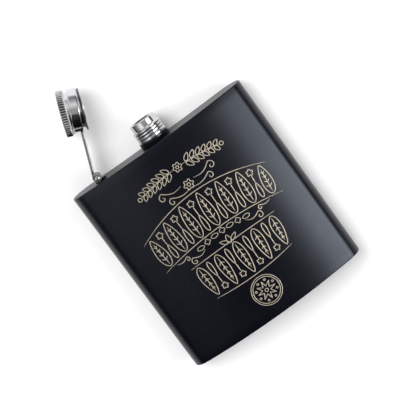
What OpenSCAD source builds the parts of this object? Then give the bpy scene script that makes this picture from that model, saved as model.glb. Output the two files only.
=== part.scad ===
// Hip flask, free-standing, with a screw cap held on a swinging arm.
// Millimetres. +Z runs up through the neck, X across the width, Y through the depth.
// The convex front faces -Y. The origin is under the centre of the base.

/* [Body] */
// width of the body across X
body_w = 93; // [86:1:100]
// height of the body from base to top plate
body_h = 96.8; // [85:0.2:110]
// thickness of the body on its centre line
body_t = 20; // [18:0.5:21]
// radius of the convex front face
front_r = 125; // [115:1:140]
// radius of the rounded sides
side_r = 8.5; // [8.2:0.1:9]
// thickness of the steel sheet of the wall
wall = 0.6; // [0.5:0.05:0.7]
// thickness of the top and bottom plates
plate = 0.8; // [0.7:0.1:1.2]

/* [Neck] */
// position of the neck axis through the depth
neck_y = -0.7; // [-1:0.1:0]
// radius of the pouring bore
bore_r = 4.6; // [4.2:0.1:4.8]
// radius of the neck between its thread ridges
neck_r = 6.55; // [6.4:0.05:6.7]
// radius over the thread ridges
thread_r = 7.15; // [7:0.05:7.15]
// radius of the smooth lip above the thread
lip_r = 6.3; // [6:0.05:6.35]
// axial distance between thread ridges
pitch = 1.4; // [1.3:0.05:1.45]
// height of the mouth above the top plate
neck_h = 11.8; // [11.6:0.1:11.8]
// radius of the painted collar at the foot of the neck
collar_r = 7.45; // [7.3:0.05:8]
// height of the painted collar
collar_h = 2.9; // [2.6:0.1:3]

/* [Hinge and arm] */
// distance from the neck axis to the hinge pin
arm_reach = 31.5; // [31:0.5:34]
// height of the hinge pin above the top plate
pin_h = 2.1; // [2.1:0.05:2.3]
// radius of the hinge pin
pin_r = 0.8; // [0.7:0.05:0.85]
// angle of the arm from fully closed to the stored pose
arm_open = 63; // [40:1:90]
// thickness of the arm strap
strap_t = 1.3; // [1:0.1:1.4]
// half width of the arm strap
strap_half = 4.3; // [4:0.1:5]

/* [Cap] */
// radius of the plain holder ring at the end of the arm
holder_r = 10.5; // [10.3:0.1:10.7]
// radius of the knurled knob
knob_r = 10.75; // [10.6:0.05:10.9]
// thickness of the knurled knob
knob_t = 2.9; // [2.6:0.1:3.4]
// outer radius of the cap sleeve
sleeve_r = 8.9; // [8.8:0.05:8.95]
// radius over the thread ridges inside the cap
liner_r = 7.6; // [7.6:0.05:7.7]
// angle the cap leans in its holder in the stored pose
cap_lean = 6.3; // [3:0.1:6.3]
// number of knurl grooves round the knob
knurls = 44; // [24:1:60]

/* [Hidden] */
$fn = 96;
eps = 0.01;
end_x = body_w / 2 - side_r;
end_d = front_r - sqrt(pow(front_r - side_r, 2) - pow(end_x, 2));
end_gap = body_t - end_d;
back_r = (pow(end_x, 2) + pow(end_gap, 2) - pow(side_r, 2)) / (2 * (side_r - end_gap));
body_d = end_d + side_r;
pin_clear = 0.05;
head_clear = 0.05;
pin_z = body_h + pin_h;
pin_x = -arm_reach;
mouth_z = body_h + neck_h;
shank_depth = 2.6;
shoulder_top = 4;
ridge_first = 4.4;
ridge_count = 3;
ridge_slope = 0.4;
ridge_crest = 0.3;
thread_top = 8.2;
lip_slope = 0.4;
knuckle_r = 1.9;
knuckle_half = 2;
foot_half = 3;
foot_l = 1.8;
foot_t = 1.3;
eye_r = 2;
eye_in = knuckle_half + 0.1;
eye_gap = 2.6;
eye_gap_top = 3.2;
strap_into = 2;
head_r = 1.3;
head_t = 0.5;
head_in = strap_half + head_clear;
strap_rise = 5.2;
strap_off = eye_r - strap_t / 2;
holder_lean = 2.2;
holder_z0 = body_h + 4.9;
holder_z1 = body_h + 9.3;
holder_bore = 9.2;
holder_over = 3;
lean_z = body_h + 7.1;
rim_z = body_h + 3.2;
rim_t = 0.85;
rim_r = 9.75;
gasket_t = 0.75;
gasket_clear = 0.05;
gasket_z = mouth_z + gasket_clear;
cap_in_z = gasket_z + gasket_t;
knob_end = 1;
knob_z1 = cap_in_z + knob_end;
knob_z0 = knob_z1 - knob_t;
sleeve_in = 8.3;
liner_root = 7.85;
liner_start = 0.3;
liner_first = rim_z + 0.9;
liner_ridge_h = 0.6;
washer_t = 0.4;
washer_r = 10.2;
washer_clear = 0.05;
washer_z = knob_z0 - washer_clear - washer_t;
edge = 0.35;
tooth = 0.5;
tooth_out = tooth * 0.6;

// Section of the body, shrunk all round by g, front towards -Y.
module body_section(g) {
    fr = front_r - g;
    br = back_r + g;
    er = side_r - g;
    bc = body_t + back_r;
    fk = fr / (front_r - side_r);
    bk = br / (back_r + side_r);
    translate([0, -body_d / 2]) {
        intersection() {
            difference() {
                translate([0, front_r])
                    circle(r = fr, $fn = 360);
                translate([0, bc])
                    circle(r = br, $fn = 360);
            }
            polygon([
                [-end_x * fk, -side_r],
                [end_x * fk, -side_r],
                [end_x * fk, front_r + (end_d - front_r) * fk],
                [end_x * bk, bc + (end_d - bc) * bk],
                [end_x * bk, body_d + side_r],
                [-end_x * bk, body_d + side_r],
                [-end_x * bk, bc + (end_d - bc) * bk],
                [-end_x * fk, front_r + (end_d - front_r) * fk]
            ]);
        }
        for (s = [-1, 1])
            translate([s * end_x, end_d])
                circle(r = er);
    }
}

// Ring about the vertical axis.
module ring(z0, z1, r0, r1) {
    translate([0, 0, z0])
        difference() {
            cylinder(r = r1, h = z1 - z0);
            translate([0, 0, -eps])
                cylinder(r = r0, h = z1 - z0 + 2 * eps);
        }
}

// Turns the arm's pieces from closed to the stored pose about the pin.
module swung() {
    translate([pin_x, neck_y, pin_z])
        rotate([0, -arm_open, 0])
            translate([-pin_x, -neck_y, -pin_z])
                children();
}

// Leans the cap's pieces about the middle of the holder.
module leaning(a) {
    translate([0, neck_y, lean_z])
        rotate([0, -a, 0])
            translate([0, 0, -lean_z])
                children();
}

// Cylinder along Y about the pin axis.
module across(y0, y1, r) {
    translate([pin_x, neck_y + y1, pin_z])
        rotate([90, 0, 0])
            cylinder(r = r, h = y1 - y0, $fn = 48);
}

// One piece of sheet formed round both faces and both sides.
module body_wall() {
    color("#1b1c1f")
        linear_extrude(height = body_h)
            difference() {
                body_section(0);
                body_section(wall);
            }
}

// Flat plate let in level with the top edge, pierced for the neck.
module top_plate() {
    color("#1d1e21")
        difference() {
            translate([0, 0, body_h - plate])
                linear_extrude(height = plate)
                    body_section(wall);
            translate([0, neck_y, body_h - plate - eps])
                cylinder(r = neck_r, h = plate + 2 * eps);
        }
}

// Flat plate let in level with the bottom edge.
module bottom_plate() {
    color("#1b1c1f")
        linear_extrude(height = plate)
            body_section(wall);
}

// Painted boss round the foot of the neck, with a softened top edge.
module neck_collar() {
    color("#141416")
        translate([0, neck_y, body_h])
            difference() {
                union() {
                    cylinder(r = collar_r, h = collar_h - edge);
                    translate([0, 0, collar_h - edge])
                        cylinder(r1 = collar_r, r2 = collar_r - edge, h = edge);
                }
                translate([0, 0, -eps])
                    cylinder(r = neck_r, h = collar_h + 2 * eps);
            }
}

// Turned neck: shank through the top plate, ridged thread and a plain lip.
module neck() {
    color("#c9ccd0")
        translate([0, neck_y, body_h])
            difference() {
                union() {
                    translate([0, 0, -shank_depth])
                        cylinder(r = neck_r, h = shank_depth + thread_top);
                    translate([0, 0, collar_h])
                        cylinder(r = thread_r, h = shoulder_top - collar_h);
                    for (i = [0 : ridge_count - 1])
                        translate([0, 0, ridge_first + i * pitch]) {
                            cylinder(r1 = neck_r, r2 = thread_r, h = ridge_slope);
                            translate([0, 0, ridge_slope])
                                cylinder(r = thread_r, h = ridge_crest);
                            translate([0, 0, ridge_slope + ridge_crest])
                                cylinder(r1 = thread_r, r2 = neck_r, h = ridge_slope);
                        }
                    translate([0, 0, thread_top])
                        cylinder(r1 = neck_r, r2 = lip_r, h = lip_slope);
                    translate([0, 0, thread_top + lip_slope])
                        cylinder(r = lip_r, h = neck_h - thread_top - lip_slope - edge);
                    translate([0, 0, neck_h - edge])
                        cylinder(r1 = lip_r, r2 = lip_r - edge, h = edge);
                }
                translate([0, 0, -shank_depth - 1])
                    cylinder(r = bore_r, h = neck_h + shank_depth + 2);
            }
}

// Lug on the top plate that carries the pin in its knuckle.
module hinge_bracket() {
    color("#141416")
        difference() {
            union() {
                across(-knuckle_half, knuckle_half, knuckle_r);
                translate([pin_x - knuckle_r, neck_y - knuckle_half, body_h])
                    cube([2 * knuckle_r, 2 * knuckle_half, pin_h]);
                translate([pin_x + knuckle_r, neck_y - foot_half, body_h])
                    cube([foot_l, 2 * foot_half, foot_t]);
            }
            across(-knuckle_half - 1, knuckle_half + 1, pin_r + pin_clear);
        }
}

// Hinge pin with its front head.
module hinge_pin() {
    color("#8f9296")
        union() {
            across(-head_in, head_in, pin_r);
            across(-head_in - head_t, -head_in, head_r);
        }
}

// Head closed over the rear end of the pin.
module pin_rear_head() {
    color("#8f9296")
        across(head_in, head_in + head_t, head_r);
}

// Strap with two eyes rolled round the pin, running up to the holder.
module arm_strap() {
    color("#b9bcc1")
        swung()
            difference() {
                union() {
                    across(-strap_half, strap_half, eye_r);
                    translate([pin_x, neck_y - strap_half, pin_z])
                        rotate([0, -strap_rise, 0])
                            translate([0, 0, strap_off - strap_t / 2])
                                cube([arm_reach - holder_r + strap_into, 2 * strap_half, strap_t]);
                }
                across(-strap_half - 1, strap_half + 1, pin_r + pin_clear);
                translate([pin_x - eye_gap, neck_y - eye_in, pin_z - eye_gap])
                    cube([2 * eye_gap, 2 * eye_in, eye_gap + eye_gap_top]);
                leaning(holder_lean)
                    translate([0, 0, holder_z0 - holder_over])
                        cylinder(r = holder_r, h = holder_z1 - holder_z0 + 2 * holder_over);
            }
}

// Plain polished ring at the end of the arm, loose round the cap sleeve.
module cap_holder() {
    color("#c3c6ca")
        swung()
            leaning(holder_lean)
                difference() {
                    union() {
                        translate([0, 0, holder_z0 + edge])
                            cylinder(r = holder_r, h = holder_z1 - holder_z0 - 2 * edge);
                        translate([0, 0, holder_z0])
                            cylinder(r1 = holder_r - edge, r2 = holder_r, h = edge);
                        translate([0, 0, holder_z1 - edge])
                            cylinder(r1 = holder_r, r2 = holder_r - edge, h = edge);
                    }
                    translate([0, 0, holder_z0 - eps])
                        cylinder(r = holder_bore, h = holder_z1 - holder_z0 + 2 * eps);
                }
}

// Thin washer under the knob that the knob turns on.
module slip_washer() {
    color("#d9d9d4")
        swung()
            leaning(cap_lean)
                ring(washer_z, washer_z + washer_t, sleeve_r + 0.05, washer_r);
}

// Knurled knob, hollow below to take the end of the sleeve.
module knob() {
    color("#c6c9cd")
        swung()
            leaning(cap_lean)
                difference() {
                    union() {
                        translate([0, 0, knob_z0])
                            cylinder(r1 = knob_r - edge, r2 = knob_r, h = edge);
                        translate([0, 0, knob_z0 + edge])
                            cylinder(r = knob_r, h = knob_t - 2 * edge);
                        translate([0, 0, knob_z1 - edge])
                            cylinder(r1 = knob_r, r2 = knob_r - edge, h = edge);
                    }
                    translate([0, 0, knob_z0 - eps])
                        cylinder(r = sleeve_r, h = cap_in_z - knob_z0 + eps);
                    for (i = [0 : knurls - 1])
                        rotate([0, 0, i * 360 / knurls])
                            translate([knob_r + tooth_out, 0, knob_z0 - eps])
                                cylinder(r = tooth, h = knob_t + 2 * eps, $fn = 16);
                }
}

// Thin steel sleeve of the cap that passes through the holder.
module cap_sleeve() {
    color("#bfc2c7")
        swung()
            leaning(cap_lean)
                ring(rim_z, cap_in_z, sleeve_in, sleeve_r);
}

// Black rim ring fixed round the open end of the sleeve; it keeps the cap in the holder.
module rim_ring() {
    color("#28292b")
        swung()
            leaning(cap_lean)
                ring(rim_z, rim_z + rim_t, sleeve_r, rim_r);
}

// Dark threaded liner inside the sleeve.
module thread_liner() {
    color("#242527")
        swung()
            leaning(cap_lean)
                union() {
                    ring(rim_z + liner_start, gasket_z, liner_root, sleeve_in);
                    for (i = [0 : ridge_count - 1])
                        ring(liner_first + i * pitch, liner_first + i * pitch + liner_ridge_h,
                            liner_r, liner_root);
                }
}

// Sealing disc at the bottom of the cap.
module gasket() {
    color("#2b2b2c")
        swung()
            leaning(cap_lean)
                translate([0, 0, gasket_z])
                    cylinder(r = sleeve_in, h = gasket_t);
}

body_wall();
top_plate();
bottom_plate();
neck_collar();
neck();
hinge_bracket();
hinge_pin();
pin_rear_head();
arm_strap();
cap_holder();
slip_washer();
knob();
cap_sleeve();
rim_ring();
thread_liner();
gasket();
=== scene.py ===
"""Hip flask with a captive screw cap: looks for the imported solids.

Lengths in the shape functions are in millimetres and are turned into metres when a mesh is made.
+Z runs up through the neck, X across the width, and the convex front faces -Y.
"""
import math

import bmesh
import bpy
import numpy as np
from mathutils import Matrix, Vector


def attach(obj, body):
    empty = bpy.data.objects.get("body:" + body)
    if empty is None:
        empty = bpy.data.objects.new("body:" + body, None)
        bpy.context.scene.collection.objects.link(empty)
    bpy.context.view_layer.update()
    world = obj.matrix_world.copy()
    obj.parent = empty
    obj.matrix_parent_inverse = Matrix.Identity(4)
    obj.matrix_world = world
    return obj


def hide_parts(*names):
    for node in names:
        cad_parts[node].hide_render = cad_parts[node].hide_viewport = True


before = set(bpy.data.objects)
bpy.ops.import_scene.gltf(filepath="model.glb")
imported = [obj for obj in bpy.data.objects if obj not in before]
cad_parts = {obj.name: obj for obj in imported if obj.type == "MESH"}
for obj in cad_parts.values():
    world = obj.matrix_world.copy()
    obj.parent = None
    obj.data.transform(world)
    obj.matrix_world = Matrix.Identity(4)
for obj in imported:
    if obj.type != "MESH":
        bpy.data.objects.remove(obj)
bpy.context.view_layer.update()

MM = 0.001
TAU = 2 * math.pi

# ---- sizes shared with the solids -----------------------------------------------------------
BODY_W, BODY_H, BODY_T = 93.0, 96.8, 20.0
FRONT_R, SIDE_R, WALL = 125.0, 8.5, 0.6
END_X = BODY_W / 2 - SIDE_R
END_D = FRONT_R - math.sqrt((FRONT_R - SIDE_R) ** 2 - END_X ** 2)
END_GAP = BODY_T - END_D
BACK_R = (END_X ** 2 + END_GAP ** 2 - SIDE_R ** 2) / (2 * (SIDE_R - END_GAP))
BODY_D = END_D + SIDE_R
NECK_Y = -0.7
ARM_REACH, PIN_H, PIN_R, PIN_HALF = 31.5, 2.1, 0.8, 4.35
PIN = np.array([-ARM_REACH, NECK_Y, BODY_H + PIN_H])
LEAN = np.array([0.0, NECK_Y, BODY_H + 7.1])
ARM_OPEN, CAP_LEAN, HOLDER_LEAN = 63.0, 6.3, 2.2
STRAP_T, STRAP_HALF, STRAP_RISE, EYE_OUT = 1.3, 4.3, 5.2, 2.0
COLLAR_R, COLLAR_H = 7.45, 2.9
BORE_R, NECK_R, THREAD_R, LIP_R = 4.6, 6.55, 7.15, 6.3
PITCH = 1.4
# heights of the neck's parts from the top plate
SHANK, SHOULDER, NECK_FOOT, LIP_FOOT, LIP_FULL, MOUTH = -2.6, 3.75, 4.1, 8.2, 8.6, 11.8
HOLDER_R, HOLDER_BORE = 10.5, 9.2
HOLDER_Z0, HOLDER_Z1 = BODY_H + 4.9, BODY_H + 9.3
KNOB_R, SLEEVE_R, SLEEVE_IN = 10.75, 8.9, 8.3
LINER_ROOT, LINER_R = 7.85, 7.6
RIM_Z, RIM_R, RIM_T = BODY_H + 3.2, 9.75, 0.85
GASKET_Z = BODY_H + MOUTH + 0.05
CAP_IN_Z = GASKET_Z + 0.75
KNOB_Z1 = CAP_IN_Z + 1.0
KNOB_Z0 = KNOB_Z1 - 2.9


# ---- placing --------------------------------------------------------------------------------
def turned(points, centre, degrees):
    """Points turned about the line through centre along Y; a positive angle takes +X towards +Z."""
    a = math.radians(degrees)
    q = points - centre
    x = q[..., 0] * math.cos(a) - q[..., 2] * math.sin(a)
    z = q[..., 0] * math.sin(a) + q[..., 2] * math.cos(a)
    return np.stack([x, q[..., 1], z], axis=-1) + centre


def on_neck(points):
    """Moves points from the Z axis to the neck axis."""
    return points + np.array([0.0, NECK_Y, 0.0])


def on_arm(points):
    """Points given with the arm closed, moved to the open arm."""
    return turned(points, PIN, ARM_OPEN)


def on_holder(points):
    """Points about the Z axis, moved into the holder's place on the open arm."""
    return on_arm(turned(on_neck(points), LEAN, HOLDER_LEAN))


def on_cap(points):
    """Points about the Z axis, moved into the leaning cap's place on the open arm."""
    return on_arm(turned(on_neck(points), LEAN, CAP_LEAN))


def along_pin(points):
    """Points about the Z axis laid along Y about the pin."""
    return np.stack([points[:, 0], points[:, 2], -points[:, 1]], axis=-1) + PIN


# ---- meshes from grids ----------------------------------------------------------------------
def piece(name, verts, faces, uv=None, smooth=True):
    """A mesh object from millimetre points, faces, and one (u, v) pair in millimetres a point."""
    mesh = bpy.data.meshes.new(name)
    mesh.from_pydata((np.asarray(verts) * MM).tolist(), [], faces)
    if uv is not None:
        layer = mesh.uv_layers.new(name="lay")
        corner = np.empty(len(mesh.loops), dtype=np.int32)
        mesh.loops.foreach_get("vertex_index", corner)
        layer.data.foreach_set("uv", uv[corner].ravel())
    mesh.polygons.foreach_set("use_smooth", [smooth] * len(mesh.polygons))
    mesh.update()
    obj = bpy.data.objects.new(name, mesh)
    bpy.context.scene.collection.objects.link(obj)
    return obj


def grid_faces(rows, cols, close_rows, close_cols):
    """Four-cornered faces over a rows by cols grid of points, joined round where asked."""
    i = np.arange(rows if close_rows else rows - 1)
    j = np.arange(cols if close_cols else cols - 1)
    i, j = np.meshgrid(i, j, indexing="ij")
    k, m = (i + 1) % rows, (j + 1) % cols
    quads = np.stack([i * cols + j, k * cols + j, k * cols + m, i * cols + m], axis=-1)
    return quads.reshape(-1, 4)


def joined(parts):
    """Several (points, faces, uv) sets put into one."""
    verts, faces, uvs = [], [], []
    first = 0
    for v, f, t in parts:
        verts.append(v)
        uvs.append(t)
        faces.extend([[c + first for c in face] for face in f])
        first += len(v)
    return np.concatenate(verts), faces, np.concatenate(uvs)


def run_of(path):
    """Distance along a path to each of its points."""
    steps = np.linalg.norm(np.diff(path, axis=0), axis=1)
    return np.concatenate([[0], np.cumsum(steps)])


def rounded(points, radii, steps=6):
    """A closed polygon with each corner replaced by an arc of its own radius.

    The arc's centre is radius / sin(half the corner's angle) along the bisector, and the arc
    starts and ends radius / tan(half the corner's angle) from the corner.
    """
    p = np.array(points, dtype=float)
    share = np.linspace(0, 1, steps + 1)[:, None]
    out = []
    for i, radius in enumerate(radii):
        before, corner, after = p[i - 1], p[i], p[(i + 1) % len(p)]
        if radius <= 0:
            out.append(corner[None])
            continue
        u = (before - corner) / np.linalg.norm(before - corner)
        w = (after - corner) / np.linalg.norm(after - corner)
        half = math.acos(np.clip(np.dot(u, w), -1, 1)) / 2
        back = radius / math.tan(half)
        bisector = (u + w) / np.linalg.norm(u + w)
        centre = corner + bisector * radius / math.sin(half)
        start = corner + u * back - centre
        end = corner + w * back - centre
        arc = start * (1 - share) + end * share
        out.append(centre + arc / np.linalg.norm(arc, axis=1)[:, None] * radius)
    return np.concatenate(out)


def refined(path, step, closed=True):
    """Points added along a path, evenly in each stretch, so that no two are past step apart."""
    p = np.asarray(path, dtype=float)
    start = p if closed else p[:-1]
    reach = (np.roll(p, -1, axis=0) if closed else p[1:]) - start
    count = np.maximum(1, np.ceil(np.linalg.norm(reach, axis=1) / step)).astype(int)
    place = np.arange(count.sum()) - np.repeat(np.cumsum(count) - count, count)
    share = place / np.repeat(count, count)
    out = np.repeat(start, count, axis=0) + np.repeat(reach, count, axis=0) * share[:, None]
    return out if closed else np.concatenate([out, p[-1:]])


def tube(outer, inner, low, high, radii, steps=6):
    """Closed profile of a ring: up its outside, in over its top and down its inside.

    The radii round its corners: outside low, outside high, inside high and inside low.
    """
    return rounded([(outer, low), (outer, high), (inner, high), (inner, low)], radii, steps)


def round_grid(profile, turns):
    """Angle, radius and height of each point of a profile turned round the Z axis."""
    angle, radius = np.meshgrid(np.arange(turns) * TAU / turns, profile[:, 0], indexing="ij")
    return angle, radius, np.broadcast_to(profile[:, 1], radius.shape)


LAY_R = 8.0  # millimetres of a turned piece's lay for each radian


def spun(profile, turns=160, closed=True, warp=None):
    """A profile of (radius, height) turned round the Z axis.

    Point (i, j) is at angle tau * i / turns, with the radius and height of profile point j, both
    changed by warp(angle, radius, height) where one is given. An open profile that starts and
    ends on the axis gets one point at each pole.
    """
    p = np.asarray(profile, dtype=float)
    run = run_of(p)
    inner = p if closed else p[1:-1]
    angle, radius, height = round_grid(inner, turns)
    if warp is not None:
        radius, height = warp(angle, radius, height)
    verts = np.stack([radius * np.cos(angle), radius * np.sin(angle), height], axis=-1)
    verts = verts.reshape(-1, 3)
    along = np.broadcast_to(run if closed else run[1:-1], radius.shape)
    uv = np.stack([angle * LAY_R, along], axis=-1).reshape(-1, 2)
    faces = grid_faces(turns, len(inner), True, closed).tolist()
    if closed:
        return verts, faces, uv
    n, low, high = len(inner), len(verts), len(verts) + 1
    verts = np.concatenate([verts, [[0, 0, p[0, 1]], [0, 0, p[-1, 1]]]])
    uv = np.concatenate([uv, [[0, run[0]], [0, run[-1]]]])
    i = np.arange(turns)
    k = (i + 1) % turns
    faces += np.stack([np.full(turns, low), k * n, i * n], axis=-1).tolist()
    faces += np.stack([np.full(turns, high), i * n + n - 1, k * n + n - 1], axis=-1).tolist()
    return verts, faces, uv


def add_spun(name, profile, place, **kw):
    """A turned piece made from a profile and put in its place."""
    v, f, t = spun(profile, **kw)
    return piece(name, place(v), f, t)


# ---- the body's section ---------------------------------------------------------------------
FACE_STEPS, END_STEPS = 150, 56


def section():
    """Outline of the body seen from above, and the outward direction at each of its points.

    Four arcs that meet in tangents, each centre + radius * (sin a, -cos a): the front, a round
    end, the hollow back and the other round end. Outwards is away from an arc's centre, and on
    the hollow back towards it.
    """
    front = math.asin(END_X / (FRONT_R - SIDE_R))
    back = math.asin(END_X / (BACK_R + SIDE_R))
    arcs = [(-front, front, FACE_STEPS, FRONT_R, (0, FRONT_R), 1),
            (front, math.pi + back, END_STEPS, SIDE_R, (END_X, END_D), 1),
            (back, -back, FACE_STEPS, BACK_R, (0, BODY_T + BACK_R), -1),
            (-math.pi - back, -front, END_STEPS, SIDE_R, (-END_X, END_D), 1)]
    points, outward = [], []
    for start, end, steps, radius, centre, side in arcs:
        a = np.linspace(start, end, steps, endpoint=False)
        away = np.stack([np.sin(a), -np.cos(a)], axis=-1)
        points.append(away * radius + centre)
        outward.append(away * side)
    return np.concatenate(points) - [0, BODY_D / 2], np.concatenate(outward)


def front_y(x):
    """Depth of the front face at x from the middle: FRONT_R - sqrt(FRONT_R^2 - x^2), centred."""
    return FRONT_R - np.sqrt(FRONT_R ** 2 - np.asarray(x) ** 2) - BODY_D / 2


def swept(profile):
    """The body's section carried round a closed profile of (inset, height) pairs.

    Point (i, j) is section point i moved inwards by inset j, at height j.
    """
    points, outward = section()
    flat = points[:, None] - outward[:, None] * profile[None, :, :1]
    height = np.broadcast_to(profile[:, 1:], flat.shape[:2] + (1,))
    pts = np.concatenate([flat, height], axis=-1)
    uv = np.stack(np.meshgrid(run_of(pts[:, 0]), run_of(profile), indexing="ij"), axis=-1)
    faces = grid_faces(*pts.shape[:2], True, True).tolist()
    return pts.reshape(-1, 3), faces, uv.reshape(-1, 2)


# ---- shader maths ---------------------------------------------------------------------------
class Sock:
    """One output socket, with operators that add Math nodes."""

    def __init__(self, bench, socket):
        self.bench = bench
        self.socket = socket

    def _math(self, operation, a, b):
        return self.bench.node("ShaderNodeMath", {"operation": operation}, [a, b])

    def __add__(self, other):
        return self._math("ADD", self, other)

    def __radd__(self, other):
        return self._math("ADD", other, self)

    def __sub__(self, other):
        return self._math("SUBTRACT", self, other)

    def __rsub__(self, other):
        return self._math("SUBTRACT", other, self)

    def __mul__(self, other):
        return self._math("MULTIPLY", self, other)

    def __rmul__(self, other):
        return self._math("MULTIPLY", other, self)


class Bench:
    """One material's node tree and the few calls that fill it."""

    def __init__(self, name):
        self.mat = bpy.data.materials.new(name)
        self.mat.use_nodes = True
        self.clear(self.mat.node_tree, "ShaderNodeOutputMaterial")

    def clear(self, tree, output):
        """Takes a tree, empties it and gives it its output node."""
        self.tree = tree
        self.tree.nodes.clear()
        self.out = self.tree.nodes.new(output)

    def node(self, kind, settings=None, sockets=(), out=0):
        """Adds a node: its settings first, then its inputs by order or by name."""
        n = self.tree.nodes.new(kind)
        for key, value in (settings or {}).items():
            if key == "stops":
                self.set_stops(n.color_ramp, value)
            else:
                setattr(n, key, value)
        pairs = sockets.items() if isinstance(sockets, dict) else enumerate(sockets)
        for key, value in pairs:
            if isinstance(value, Sock):
                self.tree.links.new(value.socket, n.inputs[key])
            else:
                n.inputs[key].default_value = value
        return Sock(self, n.outputs[out])

    @staticmethod
    def set_stops(ramp, stops):
        """Fills a colour ramp with (position, colour) pairs."""
        while len(ramp.elements) < len(stops):
            ramp.elements.new(0.5)
        for element, (at, colour) in zip(ramp.elements, stops):
            element.position = at
            element.color = (*colour, 1.0)

    def mix(self, factor, a, b, how="MIX"):
        """A colour between a and b, each a socket or an (r, g, b) triple."""
        a, b = [c if isinstance(c, Sock) else (*c, 1.0) for c in (a, b)]
        return self.node("ShaderNodeMix", {"data_type": "RGBA", "blend_type": how},
                         {0: factor, 6: a, 7: b}, out=2)

    def here(self):
        """Object coordinates, in metres."""
        return self.node("ShaderNodeTexCoord", out="Object")

    def lay(self):
        """The piece's own lay over its surface, in millimetres."""
        return self.node("ShaderNodeUVMap", {"uv_map": "lay"})

    def stretched(self, where, scale, turn=(0, 0, 0)):
        """Coordinates scaled and turned, for a pattern that runs one way."""
        return self.node("ShaderNodeMapping", None,
                         {"Vector": where, "Rotation": turn, "Scale": scale})

    def noise(self, where, scale, detail, rough):
        """Cloudy noise, about 0.5 on average, with scale blotches in each unit of length."""
        return self.node("ShaderNodeTexNoise", None,
                         {"Vector": where, "Scale": scale, "Detail": detail, "Roughness": rough})

    def ramp(self, value, lo, hi, a=0.0, b=1.0):
        """A value that goes from a at lo to b at hi and stays there outside."""
        return self.node("ShaderNodeMapRange", {"clamp": True}, [value, lo, hi, a, b])

    def bump(self, height, strength, distance, under=None):
        """A Bump node, on top of another one where it is given."""
        sockets = {"Strength": strength, "Distance": distance, "Height": height}
        if under is not None:
            sockets["Normal"] = under
        return self.node("ShaderNodeBump", None, sockets)

    def scratches(self, where, scale, thin, turn):
        """Fine straight marks: noise stretched hard one way, of which only the tops stay."""
        long_way = self.stretched(where, (scale, scale * 0.02, scale), turn)
        return self.ramp(self.noise(long_way, 1.0, 2.0, 0.5), thin, thin + 0.06)

    def to_output(self, shader):
        """Wires a shader to the output's surface."""
        self.tree.links.new(shader.socket, self.out.inputs["Surface"])

    def finish(self, **inputs):
        """The Principled shader with its inputs, wired to the output."""
        self.to_output(self.node("ShaderNodeBsdfPrincipled", None,
                                 {k.replace("_", " "): v for k, v in inputs.items()}))
        return self.mat


def shade(colour, share, lift=0.0):
    """A colour multiplied by share and raised by lift."""
    return tuple(min(1.0, c * share + lift) for c in colour)


# ---- finishes -------------------------------------------------------------------------------
# Patterns on object coordinates have scales per metre, so a scale of 1000 gives blotches of 1 mm.
# The highlights of the coats are slightly blue.
COAT_SHEEN = (0.80, 0.88, 1.0, 1.0)
# the last colour is painted shade, laid into the bottoms of cuts where shade falls; dust and marks
# are real
DUST, MARK, GROOVE_PAINTED_SHADE = (0.16, 0.16, 0.155), (0.13, 0.13, 0.135), (0.02, 0.02, 0.022)


def powder_coat(name, base, rough, grain, shine=0.5):
    """Matte coat on steel: fine orange peel, faint patches, a little dust and a few light marks."""
    b = Bench(name)
    here = b.here()
    peel = b.noise(here, 2600.0, 2.0, 0.6)
    slow = b.noise(here, 35.0, 4.0, 0.6)
    patch = b.noise(here, 260.0, 5.0, 0.65)
    dust = b.ramp(b.noise(here, 2600.0, 1.0, 0.4), 0.76, 0.82)
    mark = b.scratches(here, 900.0, 0.70, (0.3, 0.5, 0.8)) * b.ramp(slow, 0.5, 0.62)
    tint = b.mix(b.ramp(slow, 0.3, 0.7) * 0.6, base, shade(base, 1.3))
    tint = b.mix(dust * 0.12, tint, DUST)
    tint = b.mix(mark * 0.10, tint, MARK)
    roughness = rough + (slow - 0.5) * 0.10 + (patch - 0.5) * 0.08 + dust * 0.2 + mark * 0.08
    normal = b.bump(peel, grain, 0.00004, b.bump(patch, 0.10, 0.0001))
    return b.finish(Base_Color=tint, Roughness=roughness, Normal=normal,
                    Specular_IOR_Level=shine, Specular_Tint=COAT_SHEEN)


def steel(name, base, rough, turn_lines, stain, shade_grooves=False):
    """Stainless steel: fine lines along the turning, soft smears, hairline scratches, faint stain.

    Where asked, a value stored on the piece's points paints shade into the bottoms of its cuts as a
    darker colour, and makes them rougher.
    """
    b = Bench(name)
    lay = b.lay()
    here = b.here()
    lines = b.noise(b.stretched(lay, (0.05, 14.0, 1.0)), 1.0, 3.0, 0.6)
    coarse = b.noise(b.stretched(lay, (0.08, 3.0, 1.0)), 1.0, 2.0, 0.5)
    smear = b.noise(here, 220.0, 4.0, 0.6)
    worn = (b.scratches(here, 1400.0, 0.69, (0.9, 0.2, 0.4))
            + b.scratches(here, 1100.0, 0.70, (0.1, 1.1, 1.9)))
    tint = b.mix(b.ramp(smear, 0.35, 0.7) * stain, base, shade(base, 0.72))
    tint = b.mix(b.ramp(lines, 0.35, 0.65) * 0.25 * turn_lines, tint, shade(base, 0.6))
    roughness = (rough + (lines - 0.5) * 0.22 * turn_lines + (smear - 0.5) * 0.12
                 + (coarse - 0.5) * 0.08 * turn_lines + worn * 0.14)
    normal = b.bump(lines + coarse * 0.5, 0.22 * turn_lines, 0.00002,
                    b.bump(worn, 0.18, 0.000012))
    if shade_grooves:
        painted_shade_depth = b.node("ShaderNodeAttribute", {"attribute_name": "groove"}, out="Fac")
        # painted shade: the bottoms of the cuts are darkened where shade would fall
        tint = b.mix(b.ramp(painted_shade_depth, 0.25, 0.8) * 0.88, tint, GROOVE_PAINTED_SHADE)
        roughness = roughness + painted_shade_depth * 0.12
    return b.finish(Base_Color=tint, Metallic=1.0, Roughness=roughness, Normal=normal)


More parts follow.
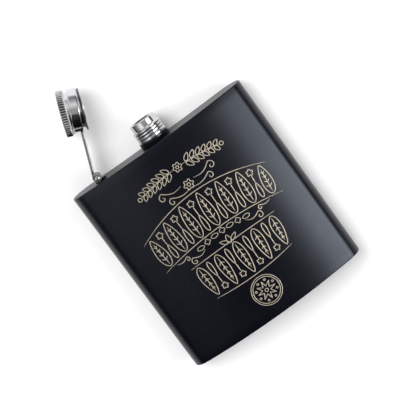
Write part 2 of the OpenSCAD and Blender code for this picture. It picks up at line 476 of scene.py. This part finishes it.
def engraved(name, base):
    """Bared metal under a burnt-off coat: pale warm tint, speckled, with fine raster lines."""
    b = Bench(name)
    here = b.here()
    raster = b.noise(b.stretched(here, (300, 300, 9000)), 1.0, 1.0, 0.5)
    speck = b.noise(here, 3200.0, 3.0, 0.6)
    slow = b.noise(here, 90.0, 3.0, 0.6)
    tint = b.mix(b.ramp(speck, 0.35, 0.7), shade(base, 0.72), base)
    tint = b.mix(b.ramp(slow, 0.4, 0.7) * 0.35, tint, shade(base, 0.8))
    roughness = 0.46 + (speck - 0.5) * 0.2 + (raster - 0.5) * 0.12
    normal = b.bump(speck + raster * 0.6, 0.3, 0.00003)
    return b.finish(Base_Color=tint, Metallic=0.55, Roughness=roughness, Normal=normal)


def moulded(name, base, rough):
    """Moulded plastic or rubber: soft mottle, fine grain, a few rub marks."""
    b = Bench(name)
    here = b.here()
    grain = b.noise(here, 1800.0, 3.0, 0.6)
    slow = b.noise(here, 150.0, 3.0, 0.6)
    rub = b.scratches(here, 1200.0, 0.70, (0.5, 0.9, 0.2))
    tint = b.mix(b.ramp(slow, 0.3, 0.7) * 0.45, base, shade(base, 0.75))
    tint = b.mix(rub * 0.3, tint, shade(base, 1.5, 0.03))
    roughness = rough + (grain - 0.5) * 0.18 + (slow - 0.5) * 0.1
    normal = b.bump(grain, 0.18, 0.00003)
    return b.finish(Base_Color=tint, Roughness=roughness, Normal=normal)


body_coat = powder_coat("body_powder_coat", (0.0010, 0.0009, 0.0028), 0.25, 0.14, 0.33)
plate_coat = powder_coat("plate_powder_coat", (0.0030, 0.0031, 0.0046), 0.36, 0.18, 0.4)
gloss_coat = powder_coat("collar_gloss_coat", (0.0045, 0.0045, 0.005), 0.13, 0.03)
polished = steel("polished_steel", (0.66, 0.665, 0.675), 0.10, 0.15, 0.15)
# the neck and knob steels get painted shade in the bottoms of their cuts
turned_steel = steel("turned_neck_steel", (0.64, 0.645, 0.655), 0.13, 0.5, 0.2, shade_grooves=True)
knob_steel = steel("knurled_knob_steel", (0.78, 0.785, 0.79), 0.14, 0.4, 0.2, shade_grooves=True)
strap_steel = steel("strap_steel", (0.36, 0.36, 0.37), 0.22, 0.3, 0.4)
pin_steel = steel("pin_dull_steel", (0.58, 0.58, 0.585), 0.24, 0.5, 0.4)
ornament_metal = engraved("engraved_bare_metal", (0.62, 0.55, 0.43))
liner_plastic = moulded("liner_black_plastic", (0.014, 0.014, 0.015), 0.35)
rim_plastic = moulded("rim_black_plastic", (0.012, 0.012, 0.013), 0.22)
seal_rubber = moulded("seal_rubber", (0.022, 0.022, 0.022), 0.6)
washer_nylon = moulded("washer_nylon", (0.58, 0.57, 0.53), 0.42)


def finish_piece(obj, body, slot, material, *nodes):
    """Gives a piece its material and body, and hides the solids that it stands for; the slot is not
    used.
    """
    obj.data.materials.clear()
    obj.data.materials.append(material)
    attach(obj, body)
    if nodes:
        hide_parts(*nodes)


def recoat(node, material):
    """Gives a kept solid a new material."""
    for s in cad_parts[node].material_slots:
        s.material = material


def set_groove_shade(obj, value):
    """Stores how deep each point lies in a cut, 0 to 1, for the steel to paint shade into."""
    layer = obj.data.attributes.new("groove", "FLOAT", "POINT")
    layer.data.foreach_set("value", value)


# ---- body -----------------------------------------------------------------------------------
# the loop runs up outside and down inside, so its faces look outwards when carried round
wall_loop = refined(tube(0, WALL, 0, BODY_H, [0.5, 0.5, 0.08, 0.08], 5), 4.0)
shell = piece("body_shell", *swept(wall_loop))
finish_piece(shell, "flask", "body_paint", body_coat, "body_wall")
recoat("top_plate", plate_coat)
recoat("bottom_plate", plate_coat)

# ---- collar and neck ------------------------------------------------------------------------
collar = add_spun("neck_collar_boss",
                  tube(COLLAR_R, NECK_R, BODY_H, BODY_H + COLLAR_H, [0, 0.45, 0.1, 0]), on_neck)
finish_piece(collar, "flask", "gloss_paint", gloss_coat, "neck_collar")

THREAD_LO, THREAD_HI, THREAD_FADE = BODY_H + 3.9, BODY_H + 8.4, 0.5
RIDGE_SLOPE, RIDGE_FOOT, LINER_FOOT = 0.20, 0.60, 0.42
NECK_TURNS, NECK_STEP = 260, 0.11
TOUCH = 0.01  # how far off a radius a point may lie and still count as on it


def helix(angle, height, start, foot):
    """A right-hand helical ridge, 0 to 1: a slope RIDGE_SLOPE wide that ends foot from its middle.

    The distance from the middle is that of height - PITCH * angle / tau from the nearest turn,
    and one turn is at start.
    """
    phase = (height - PITCH * angle / TAU - start) / PITCH
    near = np.abs(phase - np.round(phase)) * PITCH
    return np.clip((foot - near) / RIDGE_SLOPE, 0, 1)


def between(value, low, high, fade):
    """1 between low and high, falling to 0 over a distance fade inside each end."""
    return np.clip((value - low) / fade, 0, 1) * np.clip((high - value) / fade, 0, 1)


def thread_ridge(angle, radius, height):
    """Height of the ridge on the outside of the neck, 0 to 1.

    The helix h is softened to h^2 * (3 - 2 * h) and faded at both ends of the thread. The second
    value is 1 along the thread and 0 elsewhere.
    """
    ridge = helix(angle, height, THREAD_LO, RIDGE_FOOT)
    ridge = ridge * ridge * (3 - 2 * ridge)
    zone = between(height, THREAD_LO, THREAD_HI, THREAD_FADE) * (radius > NECK_R - TOUCH)
    along = height - PITCH * angle / TAU
    turns = (along > THREAD_LO - PITCH) & (along < THREAD_HI)
    return ridge * zone * turns, zone


def thread_warp(angle, radius, height):
    """Adds the ridge to the root radius."""
    return radius + (THREAD_R - NECK_R) * thread_ridge(angle, radius, height)[0], height


neck_outline = rounded([(NECK_R, SHANK), (NECK_R, COLLAR_H - 0.1), (THREAD_R, COLLAR_H - 0.1),
                        (THREAD_R, SHOULDER), (NECK_R, NECK_FOOT), (NECK_R, LIP_FOOT),
                        (LIP_R, LIP_FULL), (LIP_R, MOUTH), (BORE_R, MOUTH), (BORE_R, SHANK)],
                       [0.1, 0, 0, 0.2, 0.1, 0.1, 0.1, 0.45, 0.4, 0.1], 5) + [0, BODY_H]
neck_steps = refined(neck_outline, NECK_STEP)
neck = add_spun("neck_turned", neck_steps, on_neck, turns=NECK_TURNS, warp=thread_warp)
ridge, zone = thread_ridge(*round_grid(neck_steps, NECK_TURNS))
# painted shade: the steel darkens the thread's roots by this value
set_groove_shade(neck, ((zone - ridge) * 0.8).ravel())
finish_piece(neck, "flask", "turned_steel", turned_steel, "neck")


# ---- hinge ----------------------------------------------------------------------------------
def softened(node, name, width):
    """A merged copy of a solid with its edges rounded by a bevel."""
    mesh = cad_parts[node].data.copy()
    mesh.name = name
    obj = bpy.data.objects.new(name, mesh)
    bpy.context.scene.collection.objects.link(obj)
    bm = bmesh.new()
    bm.from_mesh(mesh)
    bmesh.ops.remove_doubles(bm, verts=bm.verts, dist=1e-6)
    bmesh.ops.dissolve_limit(bm, angle_limit=math.radians(1.0), verts=bm.verts, edges=bm.edges)
    bm.to_mesh(mesh)
    bm.free()
    mesh.polygons.foreach_set("use_smooth", [True] * len(mesh.polygons))
    bevel = obj.modifiers.new("edge", "BEVEL")
    bevel.width = width * MM
    bevel.segments = 3
    bevel.limit_method = "ANGLE"
    bevel.angle_limit = math.radians(35)
    bevel.harden_normals = True
    return obj


finish_piece(softened("hinge_bracket", "hinge_lug", 0.25), "flask", "gloss_paint", gloss_coat,
             "hinge_bracket")

# (radius, height) down one rivet head from its crown to the shank, turned over for the other
head = np.array([(0, 0.5), (0.75, 0.47), (1.15, 0.33), (1.3, 0.12), (1.26, 0), (PIN_R, 0)])
head = head + [0, PIN_HALF]
pin_profile = refined(np.concatenate([head * [1, -1], head[::-1]]), 0.5, closed=False)
pin = add_spun("hinge_pin_rivet", pin_profile, along_pin, turns=48, closed=False)
finish_piece(pin, "pin", "pin_steel", pin_steel, "hinge_pin", "pin_rear_head")


# ---- arm ------------------------------------------------------------------------------------
def ribbed(path, half_width, thick, middle, corner):
    """A flat bar: a rounded rectangle carried along a path in the XZ plane.

    The rectangle lies across Y and along the path's normal; thick may change along the path.
    Each corner is its centre plus corner * (cos a, sin a). The ends are closed with flat faces.
    """
    tangent = np.gradient(path, axis=0)
    tangent /= np.linalg.norm(tangent, axis=1)[:, None]
    normal = np.stack([-tangent[:, 1], tangent[:, 0]], axis=-1)
    half = np.broadcast_to(np.asarray(thick) / 2, len(path))
    c = np.minimum(corner, half * 0.9)
    a = np.radians(np.arange(4)[:, None] * 90 + np.linspace(180, 270, 5)).ravel()
    sign = np.repeat([(-1, -1), (1, -1), (1, 1), (-1, 1)], 5, axis=0)
    size = np.stack([half_width - c, half - c], axis=-1)
    ring = sign * size[:, None] + np.stack([np.cos(a), np.sin(a)], axis=-1) * c[:, None, None]
    pts = np.stack([path[:, :1] + normal[:, :1] * ring[..., 1], middle + ring[..., 0],
                    path[:, 1:] + normal[:, 1:] * ring[..., 1]], axis=-1)
    n = pts.shape[1]
    round_bar = np.linspace(0, 4 * half_width, n)
    uv = np.stack(np.meshgrid(run_of(path), round_bar, indexing="ij"), axis=-1)
    faces = grid_faces(len(path), n, False, True).tolist()
    faces.append(list(range(n)))
    faces.append([len(path) * n - 1 - i for i in range(n)])
    return pts.reshape(-1, 3), faces, uv.reshape(-1, 2)


STRAP_OFF = EYE_OUT - STRAP_T / 2
STRAP_START, STRAP_END = 2.4, ARM_REACH - HOLDER_R + 1.5
EYE_T, EYE_HALF, EYE_SIDE, EYE_STEPS = 1.1, 1.1, 3.2, 44
EYE_MID = EYE_OUT - EYE_T / 2


def strap_mesh():
    """The flat strap as far as the holder, and a strip on each side rolled round the pin.

    A strip's path is an arc about the pin, then a straight line that rises into the strap; its
    thickness grows evenly from EYE_T to just under the strap's.
    """
    pin_xz = PIN[[0, 2]]
    rise = math.radians(STRAP_RISE)
    along = np.array([math.cos(rise), math.sin(rise)])
    above = np.array([-math.sin(rise), math.cos(rise)])
    run = np.linspace(0, STRAP_END, 60)
    flat = pin_xz + along * run[:, None] + above * STRAP_OFF
    a = np.radians(np.linspace(-215, STRAP_RISE + 90, EYE_STEPS))
    arc = pin_xz + EYE_MID * np.stack([np.cos(a), np.sin(a)], axis=-1)
    lead = (pin_xz + along * np.linspace(0.2, 3.4, 12)[:, None]
            + above * np.linspace(EYE_MID, STRAP_OFF, 12)[:, None])
    roll = np.concatenate([arc, lead])
    roll_t = np.linspace(EYE_T, STRAP_T - 0.05, len(roll))
    parts = [ribbed(flat[run > STRAP_START], STRAP_HALF, STRAP_T, PIN[1], 0.28)]
    for side in (-1, 1):
        parts.append(ribbed(roll, EYE_HALF, roll_t, PIN[1] + side * EYE_SIDE, 0.2))
    return joined(parts)


strap_points, strap_faces, strap_lay = strap_mesh()
strap = piece("arm_strap_rolled", on_arm(strap_points), strap_faces, strap_lay)
finish_piece(strap, "arm", "polished_steel", strap_steel, "arm_strap")

# ---- holder and cap -------------------------------------------------------------------------
holder_loop = tube(HOLDER_R, HOLDER_BORE, HOLDER_Z0, HOLDER_Z1, [0.35, 0.45, 0.3, 0.2])
holder = add_spun("cap_holder_ring", refined(holder_loop, 0.5), on_holder, turns=200)
finish_piece(holder, "arm", "polished_steel", polished, "cap_holder")

KNURLS, KNURL_DEEP = 56, 0.62
KNOB_TURNS = KNURLS * 8
# the knurl fades out over KNURL_FADE from the radius KNURL_FOOT
KNURL_FOOT, KNURL_FADE = KNOB_R - 0.55, 0.3
# a shallow ring is turned in the knob's face
RING_OUT, RING_IN, RING_EDGE, RING_DEEP = 8.9, 8.1, 0.2, 0.12


def knurl_cut(angle, radius):
    """Share of the full cut, 0 to 1: a pointed wave round the edge, faded at the knob's faces."""
    wave = 1 - np.abs(((angle * KNURLS / TAU) % 1.0) - 0.5) * 2
    return wave * np.clip((radius - KNURL_FOOT) / KNURL_FADE, 0, 1)


def knurl_warp(angle, radius, height):
    """Cuts straight flutes in the knob's rim: the radius less KNURL_DEEP times the cut."""
    return radius - KNURL_DEEP * knurl_cut(angle, radius), height


# from the axis inside, out round the rim, to the axis on top
knob_corners = rounded([(0, CAP_IN_Z), (SLEEVE_R, CAP_IN_Z), (SLEEVE_R, KNOB_Z0),
                        (KNOB_R, KNOB_Z0), (KNOB_R, KNOB_Z1), (RING_OUT, KNOB_Z1),
                        (RING_OUT - RING_EDGE, KNOB_Z1 - RING_DEEP),
                        (RING_IN + RING_EDGE, KNOB_Z1 - RING_DEEP), (RING_IN, KNOB_Z1),
                        (0, KNOB_Z1)], [0, 0.1, 0.1, 0.3, 0.45, 0.1, 0.05, 0.05, 0.1, 0])
knob_outline = refined(knob_corners, 0.35, closed=False)
knob = add_spun("knob_knurled", knob_outline, on_cap, turns=KNOB_TURNS, closed=False,
                warp=knurl_warp)
knob_angle, knob_radius, _ = round_grid(knob_outline[1:-1], KNOB_TURNS)
# the last two points are the poles, which lie in no flute
# painted shade: the steel darkens each flute by how deep the point lies in it
set_groove_shade(knob, np.concatenate([knurl_cut(knob_angle, knob_radius).ravel(), [0, 0]]))
finish_piece(knob, "cap", "turned_steel", knob_steel, "knob")

rim_loop = tube(RIM_R, SLEEVE_R, RIM_Z, RIM_Z + RIM_T, [0.38, 0.38, 0.05, 0.05], 8)
rim = add_spun("rim_ring_rolled", rim_loop, on_cap, turns=180)
finish_piece(rim, "cap", "liner_plastic", rim_plastic, "rim_ring")
sleeve_loop = tube(SLEEVE_R, SLEEVE_IN, RIM_Z, CAP_IN_Z, [0.15, 0, 0, 0.2], 4)
sleeve = add_spun("cap_sleeve_tube", refined(sleeve_loop, 0.6), on_cap, turns=180)
finish_piece(sleeve, "cap", "polished_steel", polished, "cap_sleeve")

LINER_LO, LINER_HI, LINER_FADE = RIM_Z + 0.8, RIM_Z + 5.4, 0.4


def liner_warp(angle, radius, height):
    """Raises a helix inwards on the liner's bore, of the neck's pitch and hand.

    The radius falls from LINER_ROOT by (LINER_ROOT - LINER_R) times the helix, faded at its ends.
    """
    ridge = helix(angle, height, LINER_LO + PITCH / 2, LINER_FOOT)
    ridge = ridge * between(height, LINER_LO, LINER_HI, LINER_FADE)
    inside = radius < LINER_ROOT + TOUCH
    return radius - np.where(inside, (LINER_ROOT - LINER_R) * ridge, 0), height


liner_loop = tube(SLEEVE_IN, LINER_ROOT, RIM_Z + 0.3, GASKET_Z, [0.05, 0, 0, 0.12], 4)
liner = add_spun("liner_threaded", refined(liner_loop, 0.12), on_cap, turns=240, warp=liner_warp)
finish_piece(liner, "cap", "liner_plastic", liner_plastic, "thread_liner")
recoat("gasket", seal_rubber)
recoat("slip_washer", washer_nylon)

# ---- engraved lines -------------------------------------------------------------------------
# a line's width and height, and how far its edges lie under the face
LINE_W, LINE_H, LINE_UNDER = 0.42, 0.022, 0.03
# an open line narrows to LINE_TAPER of its width over LINE_END of its length at both ends
LINE_TAPER, LINE_END = 0.35, 0.22
ARCH_HALF = 34.0


def ribbon(path, width, closed):
    """A low engraved line laid on the front face.

    The path is in (x, z). Across it lie five points: two just under the face at the edges, two
    just inside them and one in the middle, LINE_H proud, all on the arc of the front. An open
    line narrows to LINE_TAPER of its width at both ends.
    """
    n = len(path)
    if closed:
        tangent = np.roll(path, -1, axis=0) - np.roll(path, 1, axis=0)
    else:
        tangent = np.gradient(path, axis=0)
    tangent /= np.linalg.norm(tangent, axis=1)[:, None] + 1e-9
    side = np.stack([-tangent[:, 1], tangent[:, 0]], axis=-1)
    share = np.ones(n)
    if not closed:
        s = np.linspace(0, 1, n)
        grown = np.clip(np.minimum(s, 1 - s) / LINE_END, 0, 1) ** 0.8
        share = LINE_TAPER + (1 - LINE_TAPER) * grown
    across = np.array([-0.5, -0.42, 0.0, 0.42, 0.5])
    lift = np.array([-LINE_UNDER, LINE_H * 0.8, LINE_H, LINE_H * 0.8, -LINE_UNDER])
    reach = (across * width)[None, :, None] * share[:, None, None]
    flat = path[:, None, :] + side[:, None, :] * reach
    pts = np.stack([flat[..., 0], front_y(flat[..., 0]) - lift, flat[..., 1]], axis=-1)
    uv = np.stack(np.meshgrid(np.arange(n) * 0.3, across, indexing="ij"), axis=-1)
    faces = grid_faces(n, 5, closed, True)[:, ::-1].tolist()
    if not closed:
        faces.append([4, 3, 2, 1, 0])
        faces.append([(n - 1) * 5 + i for i in range(5)])
    return pts.reshape(-1, 3), faces, uv.reshape(-1, 2)


def scroll(x, z, size, hand, turns, tail, lean):
    """An S scroll: a spiral that winds in, with a long curved tail, turned by lean.

    The spiral's radius is 0.30 * size * exp(-0.27 * angle). The tail runs size * tail to one side
    and sags by size * (0.192 * sin(pi * s) + 0.10 * s), where s falls from 1 at its tip to 0.
    """
    a = np.linspace(0, turns * TAU, 60)
    r = size * 0.30 * np.exp(-a * 0.27)
    curl = np.stack([-r * np.cos(a + 0.5 * math.pi), r * np.sin(a + 0.5 * math.pi)], axis=-1)
    s = np.linspace(1, 0, 40)[:-1]
    sag = size * (0.192 * np.sin(s * math.pi) + 0.10 * s)
    path = np.concatenate([np.stack([-size * tail * s, curl[0, 1] - sag], axis=-1), curl])
    c, q = math.cos(lean), math.sin(lean)
    path = np.stack([path[:, 0] * c - path[:, 1] * q, path[:, 0] * q + path[:, 1] * c], axis=-1)
    return path * [hand, 1] + [x, z]


def leaf(x, z, length, width):
    """Outline of a pointed leaf lying level.

    At -length / 2 * cos(t) along its midrib it reaches half width * sin(t) ^ 1.4 to both sides.
    """
    t = np.linspace(0, math.pi, 24)
    half = width / 2 * np.sin(t) ** 1.4
    run = -length / 2 * np.cos(t)
    one = np.stack([run, half], axis=-1)
    two = np.stack([run, -half], axis=-1)
    return np.concatenate([one, two[-2:0:-1]]) + [x, z]


def loop(x, z, radius, n, waves=0, depth=0.0):
    """A circle, or a petalled ring of radius * (1 + depth * cos(waves * angle))."""
    a = np.linspace(0, TAU, n, endpoint=False)
    r = radius * (1 + depth * np.cos(waves * a))
    return np.stack([r * np.cos(a), r * np.sin(a)], axis=-1) + [x, z]


def lance(foot, tip, width, n=56):
    """Outline of a tall leaf from foot to tip, widest below its middle.

    At (1 - cos(t)) / 2 of the way it reaches half width * sin(t) ^ 1.15 * (1 + 0.3 * cos(t)) to
    both sides.
    """
    foot = np.asarray(foot, dtype=float)
    axis = np.asarray(tip, dtype=float) - foot
    long = np.linalg.norm(axis)
    axis /= long
    side = np.array([-axis[1], axis[0]])
    t = np.linspace(0, math.pi, n // 2)
    half = width / 2 * np.sin(t) ** 1.15 * (1 + 0.3 * np.cos(t))
    run = long * (1 - np.cos(t)) / 2
    one = foot + axis * run[:, None] + side * half[:, None]
    two = foot + axis * run[:, None] - side * half[:, None]
    return np.concatenate([one, two[-2:0:-1]])


def arch(height, bow):
    """A curve height + bow * (1 - (x / ARCH_HALF)^2)."""
    return lambda x: height + bow * (1 - (np.asarray(x) / ARCH_HALF) ** 2)


def along_arch(curve, x0, x1, n=80):
    """Points on a curve between two distances from the middle."""
    x = np.linspace(x0, x1, n)
    return np.stack([x, curve(x)], axis=-1)


def on_arch(curve, x):
    """The one point of a curve at a distance x from the middle."""
    return np.array([x, float(curve(x))])


def tall_leaf(foot, tip, width):
    """A lance-shaped leaf with its midrib and four pairs of side ribs."""
    reach = tip - foot
    side = np.array([-reach[1], reach[0]]) / np.linalg.norm(reach)
    lines = [(lance(foot, tip, width), True)]
    lines.append((np.stack([foot + reach * 0.06, foot + reach * 0.86]), False))
    for at in (0.24, 0.40, 0.56, 0.70):
        root = foot + reach * at
        for hand in (-1, 1):
            out = reach * 0.075 + side * hand * width * 0.33 * (1.18 - at)
            lines.append((np.stack([root, root + out]), False))
    return lines


def slim_bud(foot, tip, width):
    """A narrow half-height leaf with a stalk above it and a small flower on the stalk."""
    reach = tip - foot
    flower = foot + reach * 0.86
    return [(lance(foot + reach * 0.02, foot + reach * 0.50, width * 0.40), True),
            (np.stack([foot + reach * 0.50, foot + reach * 0.76]), False),
            (loop(*flower, width * 0.28, 40, 5, 0.22), True)]


def frieze(centre, reach, count, foot, tip, width, spread=1.05):
    """A row between two curves of tall leaves by turns with slim buds, fanned out by spread."""
    lines = []
    for i, k in enumerate(np.linspace(-1, 1, count)):
        low = on_arch(foot, centre + k * reach)
        high = on_arch(tip, centre + k * reach * spread)
        plant = tall_leaf if i % 2 == 0 else slim_bud
        lines.extend(plant(low, high, width))
    return lines


def engrave(name, lines, width=LINE_W):
    """All the lines of one ornament as one thin mesh on the flask's front."""
    parts = []
    for path, closed in lines:
        if not closed and len(path) <= 8:
            path = refined(path, 0.3, closed=False)
        parts.append(ribbon(path, width, closed))
    finish_piece(piece(name, *joined(parts)), "flask", "turned_steel", ornament_metal)


# ---- ornament -------------------------------------------------------------------------------
# the band, garland and emblem stand about one upright line, the scrolls and beads about another
BAND_X, SCROLL_X = 1.0, 0.6

# upper garland: a bowed stem with leaves in pairs, parted in the middle by a small flower
STEM_Z, STEM_BOW = 76.2, 6.6
stem = arch(STEM_Z, STEM_BOW)
garland = []
for hand in (-1, 1):
    garland.append((along_arch(stem, BAND_X + hand * 2.6, BAND_X + hand * 21.0, 50), False))
    for i in range(6):
        root = on_arch(stem, BAND_X + hand * (4.3 + i * 2.9))
        slope = math.atan(-2 * STEM_BOW * root[0] / ARCH_HALF ** 2) + (0 if hand > 0 else math.pi)
        for flip in (-1, 1):
            lean = slope + flip * hand * 0.85
            reach = np.array([math.cos(lean), math.sin(lean)]) * (4.3 - 0.22 * i)
            garland.append((lance(root + reach * 0.1, root + reach, 1.75, 36), True))
    garland.append((loop(*on_arch(stem, BAND_X + hand * 22.3), 0.9, 28), True))
garland.append((loop(*on_arch(stem, BAND_X), 1.9, 60, 6, 0.18), True))
garland.append((loop(*on_arch(stem, BAND_X), 0.7, 24), True))
engrave("engraved_garland", garland, 0.40)

# scrolls on both sides of a small flower, and again under the broad band
FLOWER_Z = 73.4
scrolls = [(loop(SCROLL_X, FLOWER_Z, 2.1, 60, 6, 0.2), True),
           (loop(SCROLL_X, FLOWER_Z, 0.8, 28), True)]
for hand in (-1, 1):
    scrolls.append((scroll(SCROLL_X - hand * 13.2, 74.6, 8.0, -hand, 1.1, 1.2, 0.14), False))
    scrolls.append((scroll(SCROLL_X - hand * 10.4, 70.9, 6.6, -hand, 1.0, 1.5, 0.06), False))
    scrolls.append((scroll(SCROLL_X - hand * 18.0, 42.7, 7.0, -hand, 1.1, 1.0, -0.12), False))
    scrolls.append((scroll(SCROLL_X - hand * 20.2, 45.4, 4.6, hand, 1.0, 1.2, 0.05), False))
engrave("engraved_scrolls", scrolls)

# broad arched band of tall leaves between two lines
BAND_BOW, BAND_RISE = 4.6, 8.6
band = frieze(BAND_X, 28.5, 13, arch(45.9, BAND_BOW), arch(59.6, BAND_RISE), 4.9)
band.append((along_arch(arch(45.0, BAND_BOW), -31.5, 33.5), False))
band.append((along_arch(arch(60.8, BAND_RISE), -32.5, 34.5), False))
engrave("engraved_band", band)

# small row of leaves and flowers under the band, and three leaves below it
BEAD_Z, BEAD_BOW = 46.0, 1.6
beads = []
for i in range(7):
    bx = -12.0 + i * 4.2
    bz = BEAD_Z + BEAD_BOW * (1 - ((bx - SCROLL_X) / 14.0) ** 2)
    shape = leaf(bx, bz, 3.7, 1.9) if i % 2 == 0 else loop(bx, bz, 1.2, 40, 4, 0.2)
    beads.append((shape, True))
beads.append((lance((SCROLL_X, 40.6), (SCROLL_X, 44.6), 2.1), True))
for hand in (-1, 1):
    foot, tip = (SCROLL_X + hand * 0.9, 41.2), (SCROLL_X + hand * 4.2, 43.4)
    beads.append((lance(foot, tip, 1.6), True))
engrave("engraved_beads", beads, 0.36)

# lower band of leaves that hang from an upper line
LOW_BOW, LOW_SAG = 1.6, -3.4
low_band = frieze(1.6, 20.3, 9, arch(38.4, LOW_BOW), arch(26.6, LOW_SAG), 4.6, 0.95)
low_band.append((along_arch(arch(39.5, LOW_BOW), -21.5, 24.8), False))
low_band.append((along_arch(arch(25.2, LOW_SAG), -19.5, 22.8), False))
engrave("engraved_lower_band", low_band)

# round emblem: two rings, a star of eight points and a ring of dots
EMBLEM_Z, STAR_OUT, STAR_IN, DOTS_R = 13.0, 4.6, 1.9, 4.9
emblem = [(loop(BAND_X, EMBLEM_Z, 7.2, 120), True), (loop(BAND_X, EMBLEM_Z, 6.3, 120), True)]
star_a = np.arange(16) * TAU / 16 + math.pi / 2
star_r = np.where(np.arange(16) % 2 == 0, STAR_OUT, STAR_IN)
star = np.stack([BAND_X + star_r * np.cos(star_a), EMBLEM_Z + star_r * np.sin(star_a)], axis=-1)
emblem.append((refined(star, 0.25), True))
emblem.append((loop(BAND_X, EMBLEM_Z, 0.8, 28), True))
for i in range(8):
    a = (i + 0.5) * TAU / 8 + math.pi / 2
    dot_x, dot_z = BAND_X + DOTS_R * math.cos(a), EMBLEM_Z + DOTS_R * math.sin(a)
    emblem.append((loop(dot_x, dot_z, 0.42, 16), True))
engrave("engraved_emblem", emblem, 0.38)

# ---- stage ----------------------------------------------------------------------------------
# the board is cut away behind the body, where it would only hold a shadow against the back
FAR, HOLE_X, HOLE_LO, HOLE_HI = 900, 41, 1, BODY_H - 2
BOARD_Y = BODY_D / 2 + 0.05
BOARD_COLOUR, BOARD_GLOW = (0.86, 0.86, 0.865, 1.0), 0.10
rim_xz = [(-FAR, -FAR), (FAR, -FAR), (FAR, FAR), (-FAR, FAR)]
hole_xz = [(-HOLE_X, HOLE_LO), (HOLE_X, HOLE_LO), (HOLE_X, HOLE_HI), (-HOLE_X, HOLE_HI)]
board = piece("pale_board", [(x, BOARD_Y, z) for x, z in rim_xz + hole_xz],
              [(0, 1, 5, 4), (1, 2, 6, 5), (2, 3, 7, 6), (3, 0, 4, 7)], smooth=False)
# seen from the back the board is clear
sheet = Bench("pale_board_matte")
lit = sheet.node("ShaderNodeBsdfDiffuse", None, {"Color": BOARD_COLOUR})
shine = sheet.node("ShaderNodeEmission", None, [(1.0, 1.0, 1.0, 1.0), BOARD_GLOW])
bright = sheet.node("ShaderNodeAddShader", None, [lit, shine])
clear = sheet.node("ShaderNodeBsdfTransparent")
behind = sheet.node("ShaderNodeNewGeometry", out="Backfacing")
sheet.to_output(sheet.node("ShaderNodeMixShader", None, [behind, bright, clear]))
board.data.materials.append(sheet.mat)

# ---- studio ---------------------------------------------------------------------------------
# the studio round the object: (degrees from the front towards +X, brightness at eye level)
ROOM_ROUND = [(-180, 0.75), (-128, 0.50), (-112, 0.10), (-100, 0.08), (-88, 0.18), (-72, 0.30),
              (-58, 0.60), (-48, 1.10), (-36, 1.60), (-24, 1.60), (-14, 0.80), (-5, 0.42),
              (8, 0.42), (18, 0.55), (27, 1.1), (34, 9.6), (62, 9.6), (68, 0.9), (76, 0.25),
              (88, 0.16), (104, 0.50), (128, 0.55), (180, 0.75)]
ROOM_SCALE = 10.0
OVERHEAD, COOL, PLAIN = (0.95,) * 3, (0.70, 0.82, 1.0), (1.0,) * 3
AMBIENT = (0.50,) * 3


class Room(Bench):
    """The studio's surroundings, built with the same calls as a material."""

    def __init__(self, world):
        world.use_nodes = True
        self.clear(world.node_tree, "ShaderNodeOutputWorld")

    def scaled(self, colour, share):
        """A colour multiplied by a value."""
        return self.node("ShaderNodeVectorMath", {"operation": "SCALE"},
                         {"Vector": colour, "Scale": share})


studio = bpy.data.worlds.new("studio")
bpy.context.scene.world = studio
room = Room(studio)
way = room.node("ShaderNodeTexCoord", out="Generated")
east, north, high = [room.node("ShaderNodeSeparateXYZ", None, [way], out=k) for k in "XYZ"]
bearing = room.node("ShaderNodeMath", {"operation": "ARCTAN2"}, [east, 0 - north])
stops = [((degrees + 180) / 360, (v / ROOM_SCALE,) * 3) for degrees, v in ROOM_ROUND]
belt = room.node("ShaderNodeValToRGB", {"stops": stops}, [bearing * (1 / TAU) + 0.5])
belt = room.scaled(belt, ROOM_SCALE)
# grey overhead and dark low down; the left screen hangs high and the right one low
over = room.ramp(high, 0.22, 0.55)
low = room.ramp(high, -0.62, -0.34, 0.10, 1.0)
down = room.ramp(high, -0.112, -0.17)
ahead = room.ramp(north, 0.0, -0.2)
left = room.ramp(east, 0.0, -0.15) * ahead
right_side = room.ramp(east, 0.25, 0.42) * ahead
gain = (1 - down * (left * 0.38 + ahead * 0.56) * (1 - right_side)
        - ((1 - down) * 0.83 + room.ramp(high, 0.0, 0.12) * 0.10) * right_side
        - room.ramp(high, 0.0, 0.14) * 0.45 * left)
tone = room.scaled(room.mix(over, belt, OVERHEAD), low * gain)
tone = room.mix(0.06, tone, COOL, "MULTIPLY")
# matt surfaces get a plain even light, and the view past the object is plain white
matt = room.node("ShaderNodeLightPath", out="Is Diffuse Ray")
seen = room.node("ShaderNodeLightPath", out="Is Camera Ray")
tone = room.mix(seen, room.mix(matt, tone, AMBIENT), PLAIN)
room.to_output(room.node("ShaderNodeBackground", None, [tone, 1.0]))


# ---- light and camera -----------------------------------------------------------------------
def soft_light(name, place, aim, size, power):
    """A square area light at a place, turned to a point, all in metres and watts."""
    data = bpy.data.lights.new(name, "AREA")
    data.shape = "SQUARE"
    data.size = size
    data.energy = power
    obj = bpy.data.objects.new(name, data)
    obj.location = place
    obj.rotation_mode = "QUATERNION"
    obj.rotation_quaternion = (Vector(aim) - Vector(place)).to_track_quat("-Z", "Y")
    obj.visible_glossy = False
    bpy.context.scene.collection.objects.link(obj)


soft_light("key", (-0.30, -0.95, 0.50), (0, 0, 0.06), 0.60, 9.0)

LENS, SENSOR = 145.7, 36.0
EYE = Vector((0.0251, -0.7590, 0.1880))
eye = bpy.data.cameras.new("camera")
eye.lens = LENS
eye.sensor_width = SENSOR
eye.sensor_fit = "HORIZONTAL"
eye.clip_start = 0.01
eye.clip_end = 20.0
camera = bpy.data.objects.new("camera", eye)
right = Vector((0.8107, -0.074, -0.5808)).normalized()
forward = Vector((-0.0313, 0.9851, -0.1693)).normalized()
up = right.cross(forward).normalized()
right = forward.cross(up).normalized()
turn = Matrix((right, up, -forward)).transposed()
camera.matrix_world = Matrix.Translation(EYE) @ turn.to_4x4()
bpy.context.scene.collection.objects.link(camera)
bpy.context.scene.camera = camera
bpy.context.scene.view_settings.view_transform = "Standard"
